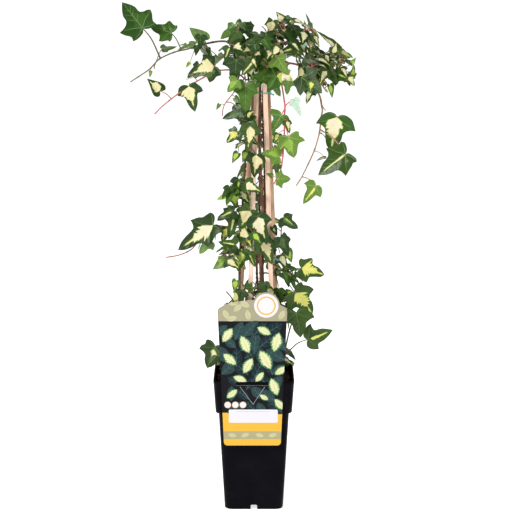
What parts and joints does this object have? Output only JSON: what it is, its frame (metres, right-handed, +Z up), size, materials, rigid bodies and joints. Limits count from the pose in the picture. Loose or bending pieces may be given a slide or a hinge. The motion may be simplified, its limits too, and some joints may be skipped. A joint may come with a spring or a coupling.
{
  "type": "potted climbing ivy",
  "caption": "Tall climbing ivy with gold-hearted leaves, tied to a narrow pyramid of thin wooden canes in a tall square black pot with a plain hang card.",
  "frame": {"origin": "middle of the pot's flat underside, where it meets the ground", "axes": "+Z up along the stems and canes, +X to the right of someone who faces the hang card, -Y out of the hang card towards them"},
  "size_m": [0.3136, 0.1704, 0.6984],
  "materials": {
    "black_plastic": "satin",
    "potting_soil": "rough",
    "cane_wood": "raw",
    "bark": "rough",
    "tie_wire": "satin",
    "card_print": "satin",
    "ivy_foliage": "waxy"
  },
  "bodies": {
    "root": {"bough_back": "bark", "bough_back_left": "bark", "bough_back_right": "bark", "bough_front": "bark", "bough_hanging": "bark", "bough_red_left": "bark", "bough_right": "bark", "bough_right_trail": "bark", "bough_top": "bark", "bough_upper_left": "bark", "cane_back_left": "cane_wood", "cane_back_right": "cane_wood", "cane_front_left": "cane_wood", "cane_front_right": "cane_wood", "label_card": "card_print", "pot": "black_plastic", "soil": "potting_soil", "spray_back_high": "ivy_foliage", "spray_back_low": "ivy_foliage", "spray_back_middle": "ivy_foliage", "spray_base_left": "ivy_foliage", "spray_base_right": "ivy_foliage", "spray_column_cluster": "ivy_foliage", "spray_column_high": "ivy_foliage", "spray_column_low": "ivy_foliage", "spray_column_mid": "ivy_foliage", "spray_column_right": "ivy_foliage", "spray_crown_back": "ivy_foliage", "spray_crown_back_left": "ivy_foliage", "spray_crown_back_right": "ivy_foliage", "spray_crown_front": "ivy_foliage", "spray_crown_left": "ivy_foliage", "spray_crown_low_right": "ivy_foliage", "spray_crown_right": "ivy_foliage", "spray_crown_top": "ivy_foliage", "spray_crown_top_left": "ivy_foliage", "spray_foot_back": "ivy_foliage", "spray_foot_front": "ivy_foliage", "spray_foot_left": "ivy_foliage", "spray_foot_right": "ivy_foliage", "spray_hanging": "ivy_foliage", "spray_left_middle": "ivy_foliage", "spray_low_right": "ivy_foliage", "spray_red_left": "ivy_foliage", "spray_right_end": "ivy_foliage", "spray_right_trail": "ivy_foliage", "spray_upper_left": "ivy_foliage", "stem_back": "bark", "stem_left": "bark", "stem_middle": "bark", "stem_right": "bark", "tie_low": "tie_wire", "tie_middle": "tie_wire", "tie_top": "tie_wire"}
  },
  "joints": []
}
